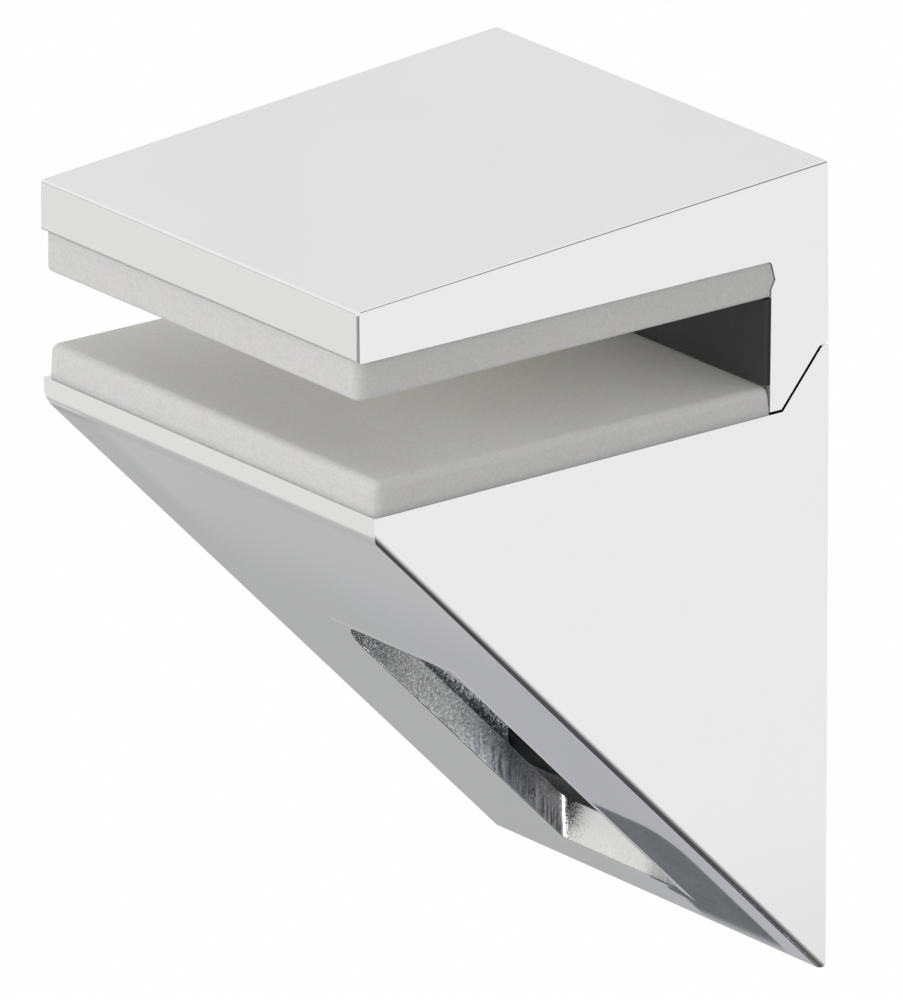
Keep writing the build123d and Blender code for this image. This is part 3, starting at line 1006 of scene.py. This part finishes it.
def pale_floor(stage):
    """A pale floor below the clip that keeps a faint shadow, and is clear from beneath."""
    deselect()
    bpy.ops.mesh.primitive_plane_add(size=stage.floor_size, location=(0, 0, -stage.floor_drop))
    floor = bpy.context.object
    floor.name = "floor"
    bpy.ops.object.transform_apply(location=True, rotation=True, scale=True)
    material, maker = new_material("pale_floor")
    matt = maker.node("ShaderNodeBsdfDiffuse", None, {"Color": grey(stage.floor_tone)})
    seen = light_path(maker, "Is Camera Ray")
    both = maker.mixed(seen * stage.floor_white, matt.outputs[0], maker.glow(grey(1)))
    beneath = maker.field("ShaderNodeNewGeometry", "Backfacing")
    maker.output(maker.mixed(beneath, both, maker.clear()))
    floor.data.materials.append(material)
    floor.visible_glossy = False


def hide_card(made):
    """Leaves a card to the metal's reflections alone."""
    made.visible_camera = False
    made.visible_diffuse = False
    made.visible_shadow = False
    made.visible_transmission = False
    made.visible_volume_scatter = False


def card(name, towards, distance, size, level, rim):
    """A round card of the light tent, with a soft rim, that faces the clip."""
    deselect()
    direction = Vector(towards).normalized()
    middle = direction * distance
    bpy.ops.mesh.primitive_circle_add(vertices=64, radius=size / 2, fill_type="NGON")
    made = bpy.context.object
    made.name = name
    turned = (-direction).to_track_quat("Z", "Y").to_matrix().to_4x4()
    settle(made, Matrix.Translation(middle) @ turned)
    material, maker = new_material(name)
    place = maker.place()
    away = maker.field(
        "ShaderNodeVectorMath", "Value", {"operation": "DISTANCE"}, {0: place, 1: middle}
    )
    cloud = maker.ramp(maker.noise(place, 0.035, 2), 0.3, 0.7)
    clouded = maker.blend(cloud, grey(level * 0.985), grey(level * 1.015))
    edge = size / 2
    solid = maker.ramp(away, edge * (1 - rim) - 0.1 * MM, edge, 1, 0)
    maker.output(maker.mixed(solid, maker.clear(), maker.glow(clouded)))
    made.data.materials.append(material)
    hide_card(made)


def camera_place(stage):
    """Where the camera stands and the direction it looks in."""
    flat = math.cos(stage.elevation)
    ahead = Vector(
        (
            -math.sin(stage.azimuth) * flat,
            math.cos(stage.azimuth) * flat,
            -math.sin(stage.elevation),
        )
    )
    return Vector(stage.aim) - ahead * stage.distance, ahead


def toe_block(stage, casting):
    """A dark block off the toe, which the slanted face mirrors beside the window."""
    deselect()
    rise = casting.wedge_drop - casting.lip_height
    depth = -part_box("lower_jaw")[0].y
    run = math.hypot(rise, depth)
    down = Vector((0, depth / run, -rise / run))
    out = Vector((0, -rise / run, -depth / run))
    left, right = casting.window_half - BLOCK_LAP, stage.block_right
    mid_y = -stage.block_front / 2
    toe = seat_height(casting) - casting.wedge_drop
    spot = Vector(((left + right) / 2, mid_y, toe - mid_y * rise / depth))
    sight = (spot - camera_place(stage)[0]).normalized()
    mirrored = sight - out * (2 * sight.dot(out))
    bpy.ops.mesh.primitive_plane_add(size=1)
    made = bpy.context.object
    made.name = "toe_block"
    made.scale = (right - left, stage.block_front * run / depth, 1)
    bpy.ops.object.transform_apply(location=False, rotation=False, scale=True)
    bpy.ops.object.mode_set(mode="EDIT")
    clear_picks("VERT")
    for point in made.data.vertices:
        point.select = point.co.x > 0 and point.co.y < 0
    bpy.ops.object.mode_set(mode="EDIT")
    bpy.ops.mesh.bevel(offset=BLOCK_CORNER, segments=10, affect="VERTICES")
    bpy.ops.object.mode_set(mode="OBJECT")
    across = Vector((1, 0, 0))
    basis = Matrix((across, down, across.cross(down))).transposed().to_4x4()
    middle = spot + mirrored * stage.block_distance
    settle(made, Matrix.Translation(middle) @ basis)
    made.data.materials.append(block_material(middle.y, -mid_y))
    hide_card(made)


def block_material(mid_y, half_depth):
    """A dark mottled glow that fades out towards the wall."""
    material, maker = new_material("toe_block")
    place = maker.place()
    y = maker.axes(place)[1] - mid_y
    cloud = maker.noise(place, 0.22, 3)
    speck = maker.noise(place, 3.0, 3, 0.7)
    tone = maker.scaled(maker.blend(cloud, BLOCK_DARK, BLOCK_LIGHT), speck * 0.8 + 0.6)
    fade = maker.ramp(y, half_depth - BLOCK_FADE[0], half_depth - BLOCK_FADE[1], 1, 0)
    maker.output(maker.mixed(fade, maker.clear(), maker.glow(tone)))
    return material


def table_card(stage):
    """A wide card under the clip, grey on the far side, dark below and pale to the near side."""
    deselect()
    bpy.ops.mesh.primitive_plane_add(size=2 * stage.table_half, location=(0, 0, -stage.table_drop))
    made = bpy.context.object
    made.name = "table_card"
    bpy.ops.object.transform_apply(location=True, rotation=True, scale=True)
    material, maker = new_material("table_card")
    place = maker.place()
    x, y, _ = maker.axes(place)
    start = TABLE_TONES[0][0]
    tones = [((away - start) / TABLE_SPAN, grey(level)) for away, level in TABLE_TONES]
    tone = maker.graded((x - start) / TABLE_SPAN, tones)
    in_front = maker.ramp(-y, *IN_FRONT_Y) * maker.ramp(-x, *IN_FRONT_X)
    maker.output(maker.glow(maker.blend(in_front, tone, TABLE_IN_FRONT)))
    made.data.materials.append(material)
    hide_card(made)


def light_tent(stage, casting):
    """The cards that the polished faces and their rounded edges mirror."""
    table_card(stage)
    for row in CARDS:
        card(*row)
    toe_block(stage, casting)


def add_lamp(name, shape, size, power, mirrored=False):
    """An area lamp that the camera doesn't see, and the metal only where it is asked for."""
    data = bpy.data.lights.new(name, "AREA")
    data.shape = shape
    data.size = size
    data.energy = power
    lamp = bpy.data.objects.new(name, data)
    bpy.context.scene.collection.objects.link(lamp)
    lamp.visible_camera = False
    lamp.visible_glossy = mirrored
    return lamp


def aim_lamp(lamp, spot, towards, distance):
    """Stands a lamp off a spot in a direction, and turns it to shine at the spot."""
    direction = Vector(towards).normalized()
    lamp.location = Vector(spot) + direction * distance
    lamp.rotation_mode = "QUATERNION"
    lamp.rotation_quaternion = direction.to_track_quat("Z", "Y")


def slot_lamp(stage, seat):
    """A faint flat lamp between the pads that lifts the shade on the lower one."""
    lamp = add_lamp("slot_lamp", "RECTANGLE", SLOT_LAMP_SIZES[0], stage.slot_power)
    lamp.data.size_y = SLOT_LAMP_SIZES[1]
    lamp.data.color = SLOT_LIGHT_TINT
    lamp.location = (0, SLOT_LAMP_Y, seat + SLOT_LAMP_RISE)


def window_lamp(name, towards, power):
    """A small lamp below the near side that shines into the window."""
    lamp = add_lamp(name, "DISK", WINDOW_LAMP_SIZE, power, mirrored=True)
    lamp.data.spread = math.radians(50)
    aim_lamp(lamp, WINDOW_SPOT, towards, WINDOW_LAMP_AWAY)


def add_camera(stage):
    """The camera at the photograph's place."""
    data = bpy.data.cameras.new("camera")
    data.lens = stage.lens
    data.sensor_width = 36
    data.clip_end = 100
    camera = bpy.data.objects.new("camera", data)
    bpy.context.scene.collection.objects.link(camera)
    camera.location, ahead = camera_place(stage)
    camera.rotation_mode = "QUATERNION"
    level = ahead.to_track_quat("-Z", "Y").to_matrix()
    rolled = level @ Matrix.Rotation(stage.roll, 3, "Z")
    camera.rotation_quaternion = rolled.to_quaternion()
    bpy.context.scene.camera = camera


class SHELFCLIP_OT_set_stage(bpy.types.Operator):
    """Sets the floor, the light tent, the lamps and the camera"""

    bl_idname = "shelfclip.set_stage"
    bl_label = "Set the stage"

    def execute(self, context):
        stage = context.scene.clip_stage
        casting = context.scene.clip_casting
        context.scene.view_settings.view_transform = "Standard"
        tent_world(stage)
        pale_floor(stage)
        light_tent(stage, casting)
        front = add_lamp("front_lamp", "SQUARE", stage.front_size, stage.front_power)
        aim_lamp(front, (0, 0, 0), FRONT_LIGHT, stage.front_distance)
        slot_lamp(stage, seat_height(casting))
        window_lamp("window_lamp", WINDOW_LIGHT, stage.window_power)
        window_lamp("hollow_lamp", HOLLOW_LIGHT, stage.hollow_power)
        add_camera(stage)
        return {"FINISHED"}


class SHELFCLIP_PT_panel(bpy.types.Panel):
    """Lists the steps that finish the clip"""

    bl_idname = "SHELFCLIP_PT_panel"
    bl_label = "Shelf Clip"
    bl_space_type = "VIEW_3D"
    bl_region_type = "UI"
    bl_category = "Shelf Clip"

    def draw(self, context):
        for step in STEPS:
            self.layout.operator(step.bl_idname)
        for group in ("clip_finish", "clip_casting", "clip_screws", "clip_stage"):
            box = self.layout.box()
            settings = getattr(context.scene, group)
            for name in settings.__annotations__:
                box.prop(settings, name)


GROUPS = {
    "clip_finish": ClipFinish,
    "clip_casting": ClipCasting,
    "clip_screws": ClipScrews,
    "clip_stage": ClipStage,
}
STEPS = (
    SHELFCLIP_OT_finish_jaws,
    SHELFCLIP_OT_finish_pads,
    SHELFCLIP_OT_finish_fixings,
    SHELFCLIP_OT_make_clamp_screw,
    SHELFCLIP_OT_make_lock_screw,
    SHELFCLIP_OT_set_stage,
)


def register():
    """Adds the settings, the operators and the panel."""
    for name, group in GROUPS.items():
        bpy.utils.register_class(group)
        setattr(bpy.types.Scene, name, PointerProperty(type=group))
    for step in (*STEPS, SHELFCLIP_PT_panel):
        bpy.utils.register_class(step)


def unregister():
    """Takes them away again."""
    for step in (SHELFCLIP_PT_panel, *reversed(STEPS)):
        bpy.utils.unregister_class(step)
    for name, group in reversed(GROUPS.items()):
        delattr(bpy.types.Scene, name)
        bpy.utils.unregister_class(group)


def main():
    """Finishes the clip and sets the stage."""
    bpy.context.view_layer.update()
    register()
    bpy.ops.shelfclip.finish_jaws()
    bpy.ops.shelfclip.finish_pads()
    bpy.ops.shelfclip.finish_fixings()
    bpy.ops.shelfclip.make_clamp_screw()
    bpy.ops.shelfclip.make_lock_screw()
    bpy.ops.shelfclip.set_stage()


if __name__ == "__main__":
    main()
